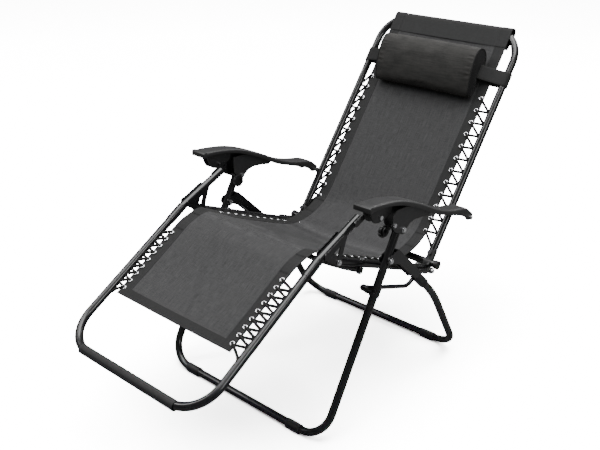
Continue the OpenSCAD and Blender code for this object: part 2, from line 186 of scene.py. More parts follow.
def revolve(profile, origin, axis, sides):
    """Closed ring or dome: profile is [radius, height] pairs along axis."""
    axis = Vector(axis).normalized()
    ref = Vector((1, 0, 0)) if abs(axis.x) < 0.9 else Vector((0, 1, 0))
    a1 = (ref - axis * ref.dot(axis)).normalized()
    a2 = axis.cross(a1)
    verts = []
    for r, h in profile:
        for k in range(sides):
            t = 2 * math.pi * k / sides
            verts.append(Vector(origin) + axis * h + (a1 * math.cos(t) + a2 * math.sin(t)) * max(r, 1e-5))
    return verts, ring_faces(len(profile), sides)


def merge(parts):
    """Joins (verts, faces) pairs into one."""
    verts, faces = [], []
    for v, f in parts:
        n = len(verts)
        verts += list(v)
        faces += [tuple(i + n for i in face) for face in f]
    return verts, faces


def spline(points, step=0.004):
    """Smooth curve through 2D or 3D points, sampled about every step."""
    p = np.array(points, float)
    ext = np.vstack([2 * p[0] - p[1], p, 2 * p[-1] - p[-2]])
    out = []
    for i in range(1, len(ext) - 2):
        p0, p1, p2, p3 = ext[i - 1:i + 3]
        n = max(2, int(np.linalg.norm(p2 - p1) / step))
        for k in range(n):
            t = k / n
            out.append(0.5 * (2 * p1 + (p2 - p0) * t + (2 * p0 - 5 * p1 + 4 * p2 - p3) * t * t
                              + (3 * p1 - p0 - 3 * p2 + p3) * t ** 3))
    out.append(p[-1])
    return np.array(out)


def chain_length(pts):
    """Distance along a chain of points, at each point."""
    return np.r_[0, np.cumsum(np.linalg.norm(np.diff(pts, axis=0), axis=1))]


def resample(pts, step):
    """The same chain with evenly spaced points, and the distance along it at each."""
    pts = np.array(pts)
    seg = chain_length(pts)
    n = max(2, int(round(seg[-1] / step)))
    s = np.linspace(0, seg[-1], n + 1)
    return np.stack([np.interp(s, seg, pts[:, k]) for k in range(pts.shape[1])], 1), s


def thicken(o, thick, rim=True):
    m = o.modifiers.new("thickness", "SOLIDIFY")
    m.thickness = thick
    m.offset = 0
    m.use_rim = rim


def soften(o, name, width, angle=None):
    """Rounds the edges, or only those sharper than angle degrees."""
    m = o.modifiers.new(name, "BEVEL")
    m.width = width
    m.segments = 2
    if angle:
        m.limit_method = "ANGLE"
        m.angle_limit = math.radians(angle)
    return m


def islands(node):
    """Centres of the separate solids in a CAD node."""
    me = NODES[node].data
    key, parent = {}, list(range(len(me.vertices)))

    def find(i):
        while parent[i] != i:
            parent[i] = parent[parent[i]]
            i = parent[i]
        return i

    for v in me.vertices:
        k = tuple(round(c, 5) for c in v.co)
        if k in key:
            parent[find(v.index)] = find(key[k])
        else:
            key[k] = v.index
    for e in me.edges:
        parent[find(e.vertices[0])] = find(e.vertices[1])
    groups = {}
    for v in me.vertices:
        groups.setdefault(find(v.index), []).append(np.array(v.co))
    return [(np.min(g, 0) + np.max(g, 0)) / 2 for g in groups.values()]


# ---------- materials ----------
class Nodes:
    """Small wrapper that keeps a node tree short to write."""

    def __init__(self, name):
        self.m = bpy.data.materials.new(name)
        self.m.use_nodes = True
        self.t = self.m.node_tree
        self.bsdf = self.t.nodes["Principled BSDF"]
        self.out = self.t.nodes["Material Output"]

    def n(self, kind, **props):
        node = self.t.nodes.new("ShaderNode" + kind)
        for k, v in props.items():
            if k in node.inputs:
                node.inputs[k].default_value = v
            else:
                setattr(node, k, v)
        return node

    def link(self, a, b):
        self.t.links.new(a, b)

    def math(self, op, a, b=0.0):
        node = self.n("Math", operation=op)
        for i, v in enumerate((a, b)):
            if isinstance(v, (int, float)):
                node.inputs[i].default_value = v
            else:
                self.link(v, node.inputs[i])
        return node.outputs[0]

    def ramp(self, fac, stops):
        node = self.n("ValToRGB")
        cr = node.color_ramp
        while len(cr.elements) < len(stops):
            cr.elements.new(0.5)
        for e, (pos, c) in zip(cr.elements, stops):
            e.position = pos
            e.color = (*c, 1) if isinstance(c, (tuple, list)) else (c, c, c, 1)
        self.link(fac, node.inputs[0])
        return node.outputs[0]

    def noise(self, vec, scale, detail=3.0, rough=0.5):
        node = self.n("TexNoise", Scale=scale, Detail=detail, Roughness=rough)
        self.link(vec, node.inputs["Vector"])
        return node.outputs["Fac"]

    def coords(self, kind="Object"):
        return self.n("TexCoord").outputs[kind]

    def scaled(self, vec, s):
        node = self.n("Mapping")
        node.inputs["Scale"].default_value = s
        self.link(vec, node.inputs["Vector"])
        return node.outputs[0]

    def bump(self, height, strength, distance):
        node = self.n("Bump", Strength=strength, Distance=distance)
        self.link(height, node.inputs["Height"])
        self.link(node.outputs[0], self.bsdf.inputs["Normal"])

    def set(self, **kw):
        for k, v in kw.items():
            k = k.replace("_", " ")
            if isinstance(v, (int, float, tuple)):
                self.bsdf.inputs[k].default_value = (*v, 1) if isinstance(v, tuple) and len(v) == 3 else v
            else:
                self.link(v, self.bsdf.inputs[k])


def powder_coat():
    m = Nodes("powder_coat")
    p = m.coords()
    grain = m.noise(p, 900, 2)
    wear = m.noise(p, 14, 4, 0.6)
    m.set(Base_Color=m.ramp(wear, [(0.35, (0.0025, 0.0025, 0.003)), (0.7, (0.006, 0.006, 0.0065))]),
          Roughness=m.ramp(wear, [(0.3, 0.2), (0.7, 0.3)]), Specular_IOR_Level=0.4,
          Coat_Weight=0.25, Coat_Roughness=0.1)
    m.bump(grain, 0.12, 0.0003)
    return m.m


def bright_metal():
    m = Nodes("zinc_plate")
    p = m.coords()
    m.set(Metallic=1.0,
          Base_Color=m.ramp(m.noise(p, 300, 3), [(0.3, (0.62, 0.63, 0.65)), (0.7, (0.86, 0.86, 0.87))]),
          Roughness=m.ramp(m.noise(p, 160, 3), [(0.3, 0.14), (0.7, 0.3)]))
    m.bump(m.noise(p, 1400, 2), 0.08, 0.0002)
    return m.m


def plastic(name, lo, hi, rough, grain_scale, grain):
    """Moulded plastic or foam between two greys, with a pebbled grain."""
    m = Nodes(name)
    p = m.coords()
    cells = m.n("TexVoronoi", Scale=grain_scale)
    m.link(p, cells.inputs["Vector"])
    fine = m.noise(p, grain_scale * 2.2, 3)
    m.set(Base_Color=m.ramp(m.noise(p, 9, 4, 0.6), [(0.3, (lo, lo, lo * 1.03)), (0.7, (hi, hi, hi * 1.03))]),
          Roughness=m.ramp(m.noise(p, 40, 3), [(0.3, rough - 0.05), (0.7, rough + 0.06)]), Specular_IOR_Level=0.45)
    pebbles = m.math("MULTIPLY", cells.outputs["Distance"], 0.8)
    m.bump(m.math("ADD", pebbles, m.math("MULTIPLY", fine, 0.5)), grain, 0.0004)
    return m.m


def woven(name, dark, light, holes, pitch=0.0015, streak=1.0):
    """Coated mesh cloth, see-through where holes is above 0. UVs are in metres: u across, v lengthways."""
    m = Nodes(name)
    uv = m.n("UVMap", uv_map="UVMap").outputs[0]
    sep = m.n("SeparateXYZ")
    m.link(uv, sep.inputs[0])
    u, v = sep.outputs[0], sep.outputs[1]
    k = 2 * math.pi / pitch
    su = m.math("SINE", m.math("MULTIPLY", u, k))
    sw = m.math("SINE", m.math("MULTIPLY", v, k * 0.8))
    cross = m.math("MULTIPLY", su, sw)
    long = m.noise(m.scaled(uv, (700.0, 26.0, 1.0)), 1.0, 3, 0.6)
    wide = m.noise(m.scaled(uv, (40.0, 420.0, 1.0)), 1.0, 2, 0.5)
    tone = m.math("ADD", m.math("MULTIPLY", long, 0.75 * streak), m.math("MULTIPLY", wide, 0.35))
    tone = m.math("ADD", tone, m.math("MULTIPLY", cross, 0.06))
    m.set(Base_Color=m.ramp(tone, [(0.3, (dark, dark, dark * 1.02)), (0.8, (light, light, light * 1.02))]),
          Roughness=0.62, Specular_IOR_Level=0.22, Sheen_Weight=0.04, Sheen_Roughness=0.5)
    warp = m.math("MULTIPLY", m.math("ABSOLUTE", su), 0.6)
    weft = m.math("MULTIPLY", m.math("ABSOLUTE", sw), 0.4)
    m.bump(m.math("ADD", warp, weft), 0.35, 0.0004)
    if holes:
        gap = m.math("MULTIPLY", m.math("GREATER_THAN", su, 1 - holes), m.math("GREATER_THAN", sw, 1 - holes * 1.6))
        clear = m.n("BsdfTransparent")
        mix = m.n("MixShader")
        m.link(gap, mix.inputs[0])
        m.link(m.bsdf.outputs[0], mix.inputs[1])
        m.link(clear.outputs[0], mix.inputs[2])
        m.link(mix.outputs[0], m.out.inputs["Surface"])
    return m.m


def soft_cloth(name, dark, light, attribute=None, pitch=0.0016, warm=1.02):
    """Plain cloth or cord. The weave follows a vertex attribute if one is named; warm below 1 turns it brown."""
    m = Nodes(name)
    p = m.n("Attribute", attribute_name=attribute).outputs["Vector"] if attribute else m.coords()
    sep = m.n("SeparateXYZ")
    m.link(p, sep.inputs[0])
    k = 2 * math.pi / pitch
    su = m.math("SINE", m.math("MULTIPLY", sep.outputs[0], k))
    sw = m.math("SINE", m.math("MULTIPLY", sep.outputs[1], k))
    fibre = m.noise(m.scaled(p, (18.0, 420.0, 420.0)), 1.0, 3, 0.6)
    blotch = m.noise(p, 22, 3, 0.6)
    tone = m.math("ADD", m.math("MULTIPLY", fibre, 0.6), m.math("MULTIPLY", blotch, 0.5))
    stops = [(0.35, (dark, dark, dark * warm)), (0.8, (light, light * (1 + warm) / 2, light * warm))]
    m.set(Base_Color=m.ramp(tone, stops), Roughness=0.7, Specular_IOR_Level=0.25, Sheen_Weight=0.08,
          Sheen_Roughness=0.4)
    weave = m.math("MULTIPLY", m.math("MULTIPLY", su, sw), 0.5)
    m.bump(m.math("ADD", weave, m.math("MULTIPLY", fibre, 0.6)), 0.4, 0.0005)
    return m.m


POWDER = powder_coat()
ZINC = bright_metal()
ARM = plastic("arm_plastic", 0.014, 0.022, 0.5, 900, 0.16)
KNOB = plastic("knob_plastic", 0.004, 0.008, 0.42, 1200, 0.12)
FOOT = plastic("foot_plastic", 0.006, 0.011, 0.5, 1000, 0.14)
FOAM = plastic("foam_grip", 0.005, 0.010, 0.7, 1600, 0.45)
PANEL = woven("sling_mesh", 0.016, 0.062, 0.58)
HEM = woven("sling_hem", 0.005, 0.019, 0.0, streak=0.8)
LACE = soft_cloth("lace", 0.003, 0.007, pitch=0.0012)
PILLOW = soft_cloth("pillow_cloth", 0.007, 0.034, attribute="cloth_pos", warm=0.9)
PILLOW_END = soft_cloth("pillow_end", 0.003, 0.009, attribute="cloth_pos")
WEB = soft_cloth("strap_web", 0.004, 0.010, pitch=0.0024)
THREAD = plastic("thread", 0.016, 0.03, 0.6, 2500, 0.1)

PAINT = {
    "black_tube": POWDER, "bright_bolt": ZINC, "arm_plastic": ARM, "knob_plastic": KNOB, "foot_plastic": FOOT,
    "foot_foam": FOAM, "sling_mesh": PANEL, "lace": LACE, "pillow_cloth": PILLOW, "strap_web": WEB,
}
for sub in frame["record"]["subparts"]:
    node = NODES[sub["node"]]
    node.data.materials.clear()
    node.data.materials.append(PAINT[sub["material_slot"]])


# ---------- sling ----------
top_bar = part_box("back_frame")[1]
LEN_BACK = BACK.coords(top_bar.y - TUBE_R, top_bar.z - TUBE_R)[0]
SLEEVE = 55 * MM                                  # how far the sleeve comes down from the top tube
BACK_OFF, SEAT_OFF, LEG_OFF = 9 * MM, 3 * MM, 6 * MM    # cloth edge above the middle of the tubes
BACK_LO = 66 * MM                                 # where the back part of the cloth starts
SEAT_LEN = float(np.linalg.norm(KNEE - HIP))
STEP = 4 * MM                                     # spacing of points on the cloth's side-view curves
HEM_W = 36 * MM


def back_pts():
    """Side-view line of the sleeve: up the rear face, round the top tube and down the front face."""
    wrap = TUBE_R + 1.6 * MM
    pts = [BACK.point(LEN_BACK - SLEEVE, -4 * MM), BACK.point(LEN_BACK - 30 * MM, -9 * MM)]
    for a in range(-90, 91, 20):
        r = math.radians(a)
        pts.append(BACK.point(LEN_BACK + wrap * math.cos(r), wrap * math.sin(r)))
    pts.append(BACK.point(LEN_BACK - 30 * MM, 11.4 * MM))
    return pts


def side_normals(pts):
    d = np.gradient(np.array(pts), axis=0)
    n = np.stack([d[:, 1], -d[:, 0]], 1)
    return n / np.linalg.norm(n, axis=1, keepdims=True)


def sheet(name, pts, x_half, material, thick, sag, v0=0.0, cols=44, normals=None):
    """Cloth swept across the chair along a side-view curve, its middle off by sag at each point."""
    pts = np.array(pts)
    seg = chain_length(pts)
    verts, uvs = [], []
    normals = side_normals(pts) if normals is None else normals
    for i, p in enumerate(pts):
        for c in range(cols + 1):
            x = -x_half + 2 * x_half * c / cols
            verts.append(sv(p + normals[i] * sag[i] * (1 - (x / x_half) ** 2), x))
            uvs.append((x, v0 + seg[i]))
    o = add_mesh(name, verts, grid_faces(len(pts) - 1, cols), material, uvs=uvs)
    thicken(o, thick, rim=False)
    return o


def hem(name, pts, sag, thick=0.0028, v0=0.0, normals=None):
    """Doubled edge strips, one each side, following the same line as the sheet."""
    pts = np.array(pts)
    seg = chain_length(pts)
    normals = side_normals(pts) if normals is None else normals
    verts, faces, uvs = [], [], []
    cols = 6
    for side in (-1, 1):
        faces += grid_faces(len(pts) - 1, cols, len(verts), flip=side < 0)
        for i, p in enumerate(pts):
            for c in range(cols + 1):
                x = HEM_IN + (HALF - HEM_IN) * c / cols
                verts.append(sv(p + normals[i] * sag[i] * (1 - (x / HALF) ** 2), side * x))
                uvs.append((side * x, v0 + seg[i]))
    o = add_mesh(name, verts, faces, HEM, uvs=uvs)
    thicken(o, thick)
    soften(o, "edge", 0.0008)
    return o


# side-view line of the cloth from the top of the back to the end of the leg rest
ferrule = mid("leg_rest_ferrules")
LEG_TOP = LEG.coords(ferrule.y, ferrule.z)[0]
leg_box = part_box("leg_sling")
LEG_END = LEG.coords(leg_box[0].y, leg_box[0].z)[0]
LEG_HI = LEG.coords(leg_box[1].y, leg_box[1].z)[0]
HEM_IN = HALF - HEM_W
HIP_A, HIP_B = BACK.point(34 * MM, 33 * MM), SEAT.point(28 * MM, 41 * MM)
KNEE_A, KNEE_B = SEAT.point(SEAT_LEN + 42 * MM, 6 * MM), LEG.point(LEG_TOP + 1 * MM, 1 * MM)
hip_line = spline([
    BACK.point(140 * MM, BACK_OFF), BACK.point(110 * MM, BACK_OFF), BACK.point(84 * MM, BACK_OFF + 2.5 * MM),
    BACK.point(60 * MM, BACK_OFF + 11 * MM), HIP_A, HIP_B, SEAT.point(58 * MM, 24 * MM),
    SEAT.point(86 * MM, SEAT_OFF + 9 * MM), SEAT.point(114 * MM, SEAT_OFF + 2.5 * MM),
    SEAT.point(150 * MM, SEAT_OFF)], STEP)
knee_line = spline([
    SEAT.point(SEAT_LEN - 80 * MM, SEAT_OFF), SEAT.point(SEAT_LEN - 30 * MM, SEAT_OFF + 3 * MM),
    SEAT.point(SEAT_LEN + 8 * MM, SEAT_OFF + 5 * MM), KNEE_A, KNEE_B, LEG.point(LEG_TOP - 20 * MM, 5 * MM),
    LEG.point(LEG_TOP - 50 * MM, LEG_OFF), LEG.point(LEG_TOP - 80 * MM, LEG_OFF)], STEP)
top_line = [BACK.point(LEN_BACK - 12 * MM, TUBE_R + 1.2 * MM), BACK.point(LEN_BACK - 40 * MM, 11 * MM),
            BACK.point(LEN_BACK - 75 * MM, BACK_OFF)]
LINE, LINE_S = resample(np.vstack([top_line, hip_line, knee_line, [LEG.point(LEG_END, LEG_OFF)]]), 5 * MM)
LINE_N = side_normals(LINE)


def nearest(p):
    return int(np.argmin(np.linalg.norm(LINE - np.array(p), axis=1)))


# points of the line where one piece of cloth ends and the next starts
CUTS = [0, nearest(BACK.point(BACK_LO, BACK_OFF)), nearest((HIP_A + HIP_B) / 2),
        nearest(SEAT.point(100 * MM, SEAT_OFF)), nearest(SEAT.point(SEAT_LEN - 30 * MM, SEAT_OFF)),
        nearest((KNEE_A + KNEE_B) / 2), nearest(LEG.point(LEG_HI, LEG_OFF)), len(LINE) - 1]
# name, body at its start, body at its end if it crosses a joint, CAD part it stands for
CLOTHS = [("back", "back", None, "back_sling"), ("hip_rear", "back", "hip_bolts", None),
          ("hip_front", "hip_bolts", "seat", None), ("seat", "seat", None, "seat_sling"),
          ("knee_rear", "seat", "knee_bolts", None), ("knee_front", "knee_bolts", "leg_rest", None),
          ("leg", "leg_rest", None, "leg_sling")]


def sag_at(i):
    """How far the middle of the cloth hangs below its edges, at point i of the line."""
    total = 0.002 * min(1, LINE_S[i] / 0.08)
    for a, b, depth in ((0, 2, 0.010), (2, 5, 0.016), (5, 7, 0.008)):
        lo, hi = LINE_S[CUTS[a]], LINE_S[CUTS[b]]
        if lo < LINE_S[i] < hi:
            total += depth * math.sin(math.pi * (LINE_S[i] - lo) / (hi - lo)) ** 1.3
    return -total


def sags(indices):
    return [sag_at(i) for i in indices]


for k, (name, a, b, node) in enumerate(CLOTHS):
    i0, i1 = CUTS[k], CUTS[k + 1]
    j0, j1 = max(0, i0 - 1), min(len(LINE), i1 + 2)
    pts = LINE[i0:i1 + 1]
    made = [sheet("cloth_" + name, pts, HALF, PANEL, 0.0011, sags(range(i0, i1 + 1)), LINE_S[i0],
                  normals=LINE_N[i0:i1 + 1]),
            hem("hem_" + name, LINE[j0:j1], sags(range(j0, j1)), v0=LINE_S[j0], normals=LINE_N[j0:j1])]
    for o in made:
        if b is None:
            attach(o, a)
        else:
            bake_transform(o)
    if node:
        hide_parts(node)

# sleeve round the top tube, and the turned end of the leg rest
sleeve_pts = spline(back_pts() + [BACK.point(LEN_BACK - SLEEVE, BACK_OFF + 1.4 * MM)], STEP)
flat = [0.0] * len(sleeve_pts)
sleeve = sheet("top_sleeve", sleeve_pts, HALF, HEM, 0.0022, flat)
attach(sleeve, "back")
sleeve_hem = hem("hem_sleeve", sleeve_pts, flat, thick=0.0036)
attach(sleeve_hem, "back")
end_from = nearest(LEG.point(LEG_END + 24 * MM, LEG_OFF))
end_hem = sheet("leg_end_hem", LINE[end_from:], HALF - 2 * MM, HEM, 0.0036, sags(range(end_from, len(LINE))))
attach(end_hem, "leg_rest")


STITCH_ROWS = [s * x for s in (-1, 1) for x in (HEM_IN + 2.5 * MM, HALF - 3 * MM)]
STITCH_LIFT, STITCH_R = 1.5 * MM, 0.45 * MM


def stitches(name, idx, body):
    """Rows of stitches down the hems, one stitch to each step of the line."""
    parts = []
    for x in STITCH_ROWS:
        for i in idx[:-1]:
            p, q = LINE[i], LINE[i + 1]
            d = q - p
            n = np.array([d[1], -d[0]]) / np.linalg.norm(d)
            lift = n * (STITCH_LIFT + sag_at(i) * (1 - (x / HALF) ** 2))
            a, b = p + d * 0.12 + lift, p + d * 0.72 + lift
            sink = n * 0.6 * MM
            path = [sv(a - sink, x), sv(a + (b - a) * 0.2, x), sv(b - (b - a) * 0.2, x), sv(b - sink, x)]
            parts.append(tube_mesh(path, STITCH_R, 5))
    o = add_mesh(name, *merge(parts), THREAD)
    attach(o, body)


stitches("stitch_back", range(CUTS[0] + 12, CUTS[1]), "back")
stitches("stitch_seat", range(CUTS[3], CUTS[4]), "seat")
stitches("stitch_leg", range(CUTS[6], CUTS[7]), "leg_rest")


# ---------- eyelets and laces ----------
# sections of an eyelet and of the knot at the end of a cord: radius and height, in millimetres
EYELET = [(3.1, -1.6), (3.0, 0.6), (3.5, 1.5), (4.6, 1.9), (5.9, 1.6), (6.9, 0.7), (7.0, 0.1), (6.8, -1.6),
          (5.6, -2.3), (4.0, -2.4), (3.1, -1.6)]
KNOT = [(0.0, -3.0), (2.8, -2.4), (3.6, -0.8), (3.0, 0.6), (3.7, 1.6), (2.4, 2.8), (0.0, 3.2)]
CORD_R = 3.8 * MM


def turned(profile, origin, axis, sides):
    return revolve([(r * MM, h * MM) for r, h in profile], origin, axis, sides)


def eyelet_rings(name, node, plane, body, cloth_off):
    parts = []
    for c in islands(node):
        origin = sv(plane.point(plane.coords(c[1], c[2])[0], cloth_off + 2 * MM), c[0])
        parts.append(turned(EYELET, origin, sv(plane.n, 0), 20))
    o = fix_normals(add_mesh(name, *merge(parts), ZINC))
    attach(o, body)
    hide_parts(node)


def laces(name, node, cords, plane, body, tube_x, cloth_off, meet, tail):
    """Zigzag cord: out from each eyelet to the inner side of the tube and back to the next eyelet.

    meet is where on the tube, from one eyelet (0) to the next (1), and tail the last run below the last eyelet."""
    parts = []
    inner = tube_x - TUBE_R
    for side in (-1, 1):
        row = sorted([plane.coords(c[1], c[2])[0] for c in islands(node) if c[0] * side > 0], reverse=True)
        xe = max(abs(c[0]) for c in islands(node))

        def at(x, a, off):
            return sv(plane.point(a, off), side * x)

        low = (cloth_off - 5 * MM) * 0.5
        path = [at(xe - 3 * MM, row[0], cloth_off - 6 * MM), at(xe, row[0], cloth_off - 3 * MM)]
        for i in range(len(row) - 1):
            a0, a1 = row[i], row[i + 1]
            m = a0 + (a1 - a0) * meet
            path += [at(xe, a0, cloth_off + 1.0 * MM),
                     at(xe + 2.4 * MM, a0 - 0.4 * MM, cloth_off + 4.2 * MM),
                     at(HALF, a0 + (m - a0) * 0.25, cloth_off + 3.6 * MM),
                     at(inner - 3 * MM, a0 + (m - a0) * 0.86, low + 2.4 * MM),
                     at(inner + 1.2 * MM, m, low),
                     at(inner - 3 * MM, m + (a1 - m) * 0.3, low - 1.5 * MM),
                     at(HALF + 1 * MM, a1 - (a1 - m) * 0.2, cloth_off - 5 * MM),
                     at(xe + 3 * MM, a1, cloth_off - 5 * MM), at(xe + 0.4 * MM, a1, cloth_off - 2.6 * MM)]
        end = row[-1]
        path += [at(xe, end, cloth_off + 1.0 * MM), at(xe + 2.4 * MM, end - 1.5 * MM, cloth_off + 4 * MM),
                 at(xe + (inner - xe) * 0.6, end - tail * 0.45, cloth_off),
                 at(inner - 2.2 * MM, end - tail * 0.8, low), at(inner + 1.5 * MM, end - tail, low)]
        parts.append(tube_mesh(spline(path, 0.0026), CORD_R, 8))
        parts.append(turned(KNOT, at(xe - 1 * MM, row[0], cloth_off - 6 * MM), sv(plane.u, 0.2), 10))
    o = fix_normals(add_mesh(name, *merge(parts), LACE))
    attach(o, body)
    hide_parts(cords)


for part, body, plane, tx, off, meet, tail in (
        ("back", "back", BACK, BACK_X, BACK_OFF, 0.86, 44 * MM),
        ("seat", "seat", SEAT, RAIL_X, SEAT_OFF, 0.5, 24 * MM),
        ("leg", "leg_rest", LEG, LEG_X, LEG_OFF, 0.5, 30 * MM)):
    eyelet_rings("eyelets_" + part, part + "_eyelets", plane, body, off)
    laces("lace_" + part, part + "_eyelets", part + "_cords", plane, body, tx, off, meet, tail)


# ---------- head pillow ----------
PILLOW_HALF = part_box("pillow")[1].x
p_at = np.array([BACK.coords(v.co.y, v.co.z) for v in NODES["pillow"].data.vertices])
P_LOW, P_REST = p_at.min(axis=0) - (11 * MM, 0)
P_LONG, P_DEEP = p_at.max(axis=0) - p_at.min(axis=0)
P_END = PILLOW_HALF - 3 * MM                      # where the end panels are
# side outline, as parts of the length up the back and of the depth off the sling
OUTLINE = [(0.02, 0.09), (0.01, 0.22), (0.035, 0.36), (0.12, 0.51), (0.28, 0.70), (0.44, 0.845), (0.58, 0.935),
           (0.69, 0.98), (0.775, 0.99), (0.86, 0.955), (0.935, 0.85), (0.985, 0.68), (0.995, 0.5), (0.975, 0.31),
           (0.92, 0.15), (0.85, 0.05), (0.77, 0.01), (0.6, 0.005), (0.4, 0.005), (0.2, 0.005), (0.08, 0.012)]
MIDDLE = np.array([0.62 * P_LONG, 0.45 * P_DEEP])    # centre of the outline


def pillow_loop(n, shrink=1.0):
    """n points round the outline, drawn in towards its middle by shrink."""
    pts = [(a * P_LONG, b * P_DEEP) for a, b in OUTLINE]
    loop = spline(pts + [pts[0]], 0.003)[:-1]
    loop, _ = resample(np.vstack([loop, loop[:1]]), 0.001)
    idx = np.linspace(0, len(loop) - 1, n + 1).astype(int)[:-1]
    return [tuple(MIDDLE + (loop[i] - MIDDLE) * shrink + (P_LOW, P_REST)) for i in idx]


def build_pillow():
    n, verts = 60, []
    # place along the pillow and size of each ring, from the middle of an end panel inwards
    ends = [(1, 0.0), (1, 0.5), (1, 0.88), (0.994, 0.95), (0.98, 0.985), (0.96, 0.995)]
    stations = [(-t, k) for t, k in ends] + [(-0.93 + 1.86 * k / 30, 1.0) for k in range(31)] + ends[::-1]
    for t, s in stations:
        for a, off in pillow_loop(n, max(s, 0.02)):
            verts.append(sv(BACK.point(a, off), t * P_END))
    faces = ring_faces(len(stations), n)
    faces.append(tuple(range(n)))
    faces.append(tuple(reversed(range((len(stations) - 1) * n, len(stations) * n))))
    o = fix_normals(add_mesh("pillow_pad", verts, faces, PILLOW))
    inflate(o, voxel=4 * MM, pressure=1.6, cap=3 * MM)
    return o


def select_only(o):
    for other in bpy.context.selected_objects:
        other.select_set(False)
    o.select_set(True)
    bpy.context.view_layer.objects.active = o


FRAMES = 20                                       # length of the simulation


def inflate(o, voxel, pressure, cap):
    """Blows the pad up with a short cloth simulation, limits the movement and keeps the result."""
    select_only(o)
    o.data.remesh_voxel_size = voxel
    bpy.ops.object.voxel_remesh()
    before = np.array([v.co for v in o.data.vertices])
    o.data.polygons.foreach_set("use_smooth", [True] * len(o.data.polygons))
    cloth = o.modifiers.new("inflate", "CLOTH")
    s = cloth.settings
    s.quality = 6
    s.mass = 0.3
    s.use_pressure = True
    s.uniform_pressure_force = pressure
    s.tension_stiffness = s.compression_stiffness = 18
    s.bending_stiffness = 1.2
    s.shear_stiffness = 8
    s.effector_weights.gravity = 0
    scene = bpy.context.scene
    scene.frame_start, scene.frame_end = 1, FRAMES
    cloth.point_cache.frame_start, cloth.point_cache.frame_end = 1, FRAMES
    for f in range(1, FRAMES + 1):
        scene.frame_set(f)
    dg = bpy.context.evaluated_depsgraph_get()
    ev = o.evaluated_get(dg)
    after = np.array([v.co for v in ev.data.vertices])
    o.modifiers.remove(cloth)
    scene.frame_set(1)
    if len(after) == len(before):
        d = after - before
        length = np.linalg.norm(d, axis=1, keepdims=True)
        d *= np.minimum(1, cap / np.maximum(length, 1e-9))
        new = before + d
        # never through the sling behind it
        for p in new:
            a, off = BACK.coords(p[1], p[2])
            if off < P_REST:
                p[1], p[2] = BACK.point(a, P_REST)
        o.data.vertices.foreach_set("co", new.astype(np.float32).ravel())
        o.data.update()


def cloth_positions(o):
    """Stores where each vertex is across, along and off the back, slanted so that the weave shows on every side."""
    att = o.data.attributes.new("cloth_pos", "FLOAT_VECTOR", "POINT")
    for v in o.data.vertices:
        a, off = BACK.coords(v.co.y, v.co.z)
        att.data[v.index].vector = (v.co.x, a + off * 0.7, off - a * 0.2)


def piping(o, x, name):
    """Sewn cord where an end panel meets the body of the pillow."""
    dg = bpy.context.evaluated_depsgraph_get()
    tree = BVHTree.FromObject(o, dg)
    pts = []
    for a, off in pillow_loop(72):
        hit = tree.find_nearest(sv(BACK.point(a, off), x))
        pts.append(Vector((x, hit[0].y, hit[0].z)) + Vector((0, hit[1].y, hit[1].z)) * 0.6 * MM)
    smooth = spline(pts[-2:] + pts + pts[:3], 0.003)
    cord = fix_normals(add_mesh(name, *tube_mesh(smooth[6:-6], 1.5 * MM, 8), PILLOW_END))
    cloth_positions(cord)
    return cord


def gathers(o):
    """Small folds running in from each end seam, and the plain end panels."""
    o.data.materials.append(PILLOW_END)
    reach = 34 * MM                               # length of the folds
    for v in o.data.vertices:
        d = P_END - abs(v.co.x)
        if 1 * MM < d < reach:
            a, off = BACK.coords(v.co.y, v.co.z)
            if off > P_REST + 8 * MM:
                turn = math.atan2(off - P_REST - MIDDLE[1], a - P_LOW - MIDDLE[0])
                k = math.sin(math.pi * d / reach) * (1 - d / reach)
                wave = math.sin(turn * 17 + 1.3 * math.sin(turn * 5)) + 0.5 * math.sin(turn * 31 + 2)
                v.co -= v.normal * (0.0011 * k * (1.2 + wave))
    for p in o.data.polygons:
        if abs(p.normal.x) > 0.72 and abs(p.center.x) > PILLOW_HALF - 14 * MM:
            p.material_index = 1
    o.data.update()


pad = build_pillow()
gathers(pad)
cloth_positions(pad)
sub = pad.modifiers.new("smooth", "SUBSURF")
sub.levels = sub.render_levels = 1
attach(pad, "head_pillow")
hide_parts("pillow")
for side in (-1, 1):
    cord = piping(pad, side * (PILLOW_HALF - 4 * MM), "pillow_piping_" + ("left" if side > 0 else "right"))
    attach(cord, "head_pillow")


def ribbon(name, path, width, across, material, thick=0.0016):
    """Flat webbing: path of 3D points, width along one fixed direction."""
    w = Vector(across).normalized() * width / 2
    n = 6
    verts = [Vector(p) + w * (2 * k / n - 1) for p in path for k in range(n + 1)]
    o = add_mesh(name, verts, grid_faces(len(path) - 1, n), material)
    thicken(o, thick)
    soften(o, "edge", 0.0005)
    return o


S_LO, S_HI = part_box("pillow_straps")
STRAP_AT = BACK.coords((S_LO.y + S_HI.y) / 2, (S_LO.z + S_HI.z) / 2)[0]
STRAP_WRAP = TUBE_R + 2.0 * MM                    # radius of the strap's turn round the tube


def strap_half(side):
    """One elastic strap from the end of the pillow, over and round the tube, to behind the sling."""
    def at(x, off):
        return tuple(sv(BACK.point(STRAP_AT, off), side * x))

    path = [at(PILLOW_HALF - 8 * MM, BACK_OFF + 25 * MM), at(PILLOW_HALF + 2 * MM, BACK_OFF + 23 * MM),
            at(PILLOW_HALF + 20 * MM, BACK_OFF + 16 * MM), at(BACK_X - 22 * MM, BACK_OFF + 7 * MM)]
    for deg in range(-20, 181, 20):
        t = math.radians(deg)
        path.append(at(BACK_X + STRAP_WRAP * math.sin(t), STRAP_WRAP * math.cos(t)))
    return path + [at(BACK_X - k * MM, -STRAP_WRAP) for k in (5, 14, 32, 64, 120)]


strap_path = spline(strap_half(1) + strap_half(-1)[::-1], STEP)
strap = ribbon("pillow_strap", strap_path, 44 * MM, sv(BACK.u, 0), WEB)
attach(strap, "head_pillow")
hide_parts("pillow_straps")


